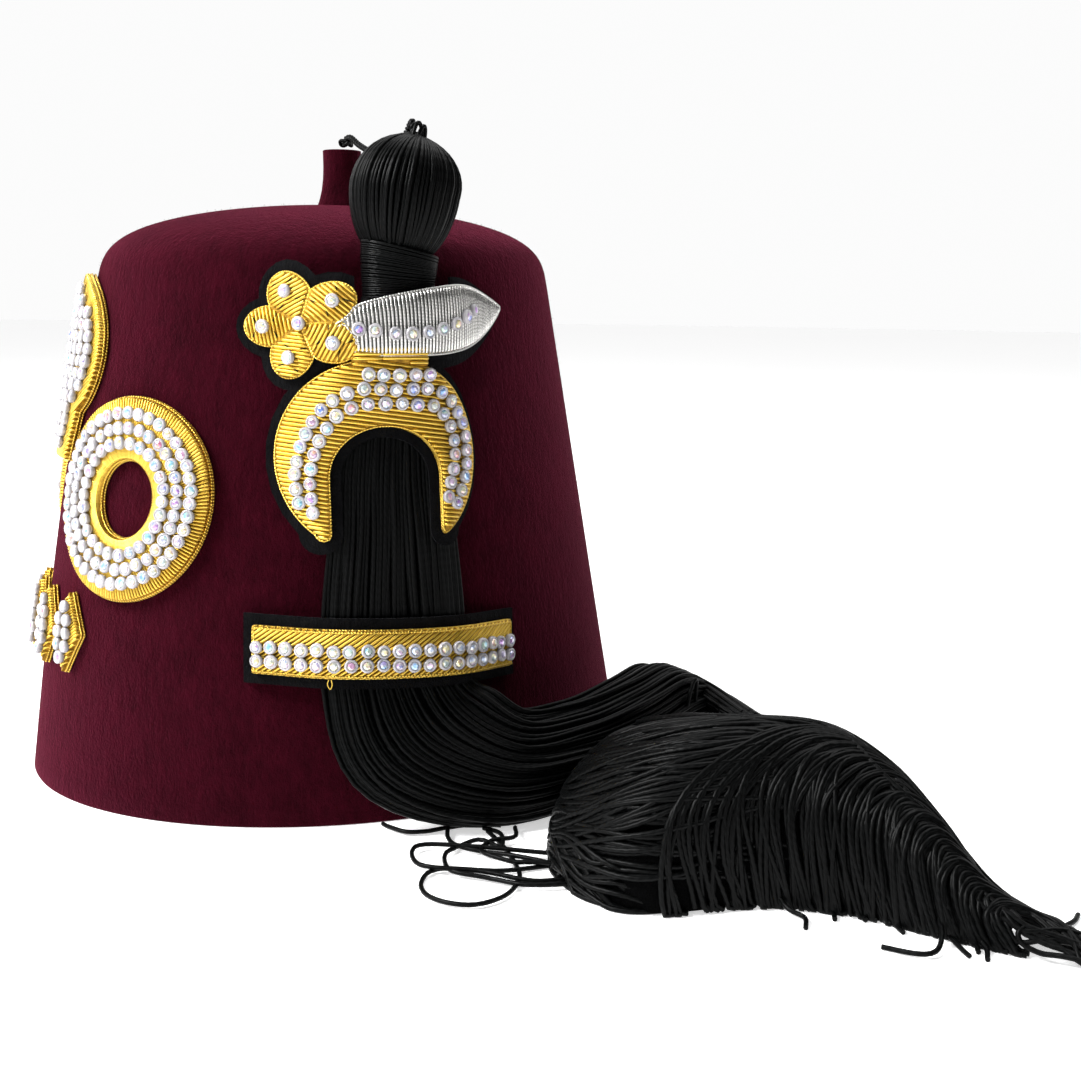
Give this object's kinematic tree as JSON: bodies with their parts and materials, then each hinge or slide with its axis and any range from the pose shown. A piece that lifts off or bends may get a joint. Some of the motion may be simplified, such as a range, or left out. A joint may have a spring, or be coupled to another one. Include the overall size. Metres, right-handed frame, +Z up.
{
  "type": "fez hat",
  "caption": "Tapered burgundy felt fez with a rounded crown, a long black strand tassel held by a jewelled side badge and bar, and jewelled goldwork on its front.",
  "frame": {"origin": "centre of the head opening, in the plane of the rim", "axes": "-X towards the wearer's forehead, -Y towards the wearer's left, where the tassel hangs, +Z up through the crown"},
  "size_m": [0.2429, 0.3185, 0.2042],
  "materials": {
    "felt": "burgundy blocked wool felt",
    "silk": "black twisted silk strands, soft sheen",
    "black_felt": "black felt backing",
    "gold": "bright gold coiled wire",
    "silver": "bright silver coiled wire",
    "stones": "clear faceted stones in white cups"
  },
  "bodies": {
    "root": {"fez_felt": "felt", "crown_stem": "felt", "tassel_cord": "silk", "tassel_head": "silk", "tassel_binding": "silk", "tassel_skirt": "silk", "badge_felt": "black_felt", "badge_arch": "gold", "badge_arch_stones": "stones", "badge_leaf": "silver", "badge_leaf_stones": "stones", "badge_flower": "gold", "flower_stone_1": "stones", "flower_stone_2": "stones", "flower_stone_3": "stones", "flower_stone_4": "stones", "flower_stone_5": "stones", "flower_stone_6": "stones", "bar_felt": "black_felt", "bar_gold": "gold", "bar_stones": "stones", "ring_left_gold": "gold", "ring_left_stones": "stones", "ring_right_gold": "gold", "ring_right_stones": "stones", "fan_gold": "gold", "fan_stones": "stones", "pip_1_gold": "gold", "pip_1_stones": "stones", "pip_2_gold": "gold", "pip_2_stones": "stones", "pip_3_gold": "gold", "pip_3_stones": "stones", "pip_4_gold": "gold", "pip_4_stones": "stones", "pip_5_gold": "gold", "pip_5_stones": "stones"}
  },
  "joints": []
}
